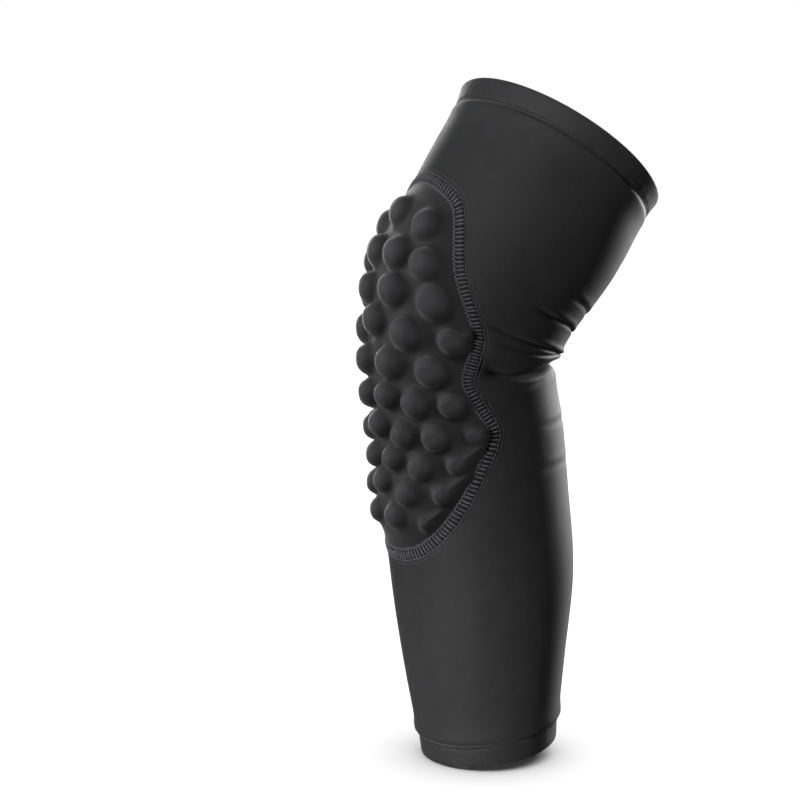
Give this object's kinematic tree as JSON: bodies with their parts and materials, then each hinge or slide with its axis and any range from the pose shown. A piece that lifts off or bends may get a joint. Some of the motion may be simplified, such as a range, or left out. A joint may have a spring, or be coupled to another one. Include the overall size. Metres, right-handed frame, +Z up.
{
  "type": "basketball knee pad",
  "caption": "Long stretch sleeve for one leg, bent as worn, with a foam pad of rounded bumps let into its front by a flat seam and a hem at each open end.",
  "frame": {"origin": "middle of the knee inside the sleeve, level with the main crease behind the knee", "axes": "+Z up the leg, -Y out of the front of the knee, +X to one side"},
  "size_m": [0.1342, 0.1799, 0.3974],
  "materials": {
    "stretch_knit": "smooth black stretch knit with a faint sheen",
    "pad_knit": "matt black stretch knit over moulded foam",
    "seam_thread": "charcoal flat seam of close cross stitches"
  },
  "bodies": {
    "root": {"sleeve": "stretch_knit", "knee_pad": "pad_knit", "pad_seam": "seam_thread", "top_hem": "stretch_knit", "bottom_hem": "stretch_knit"}
  },
  "joints": []
}
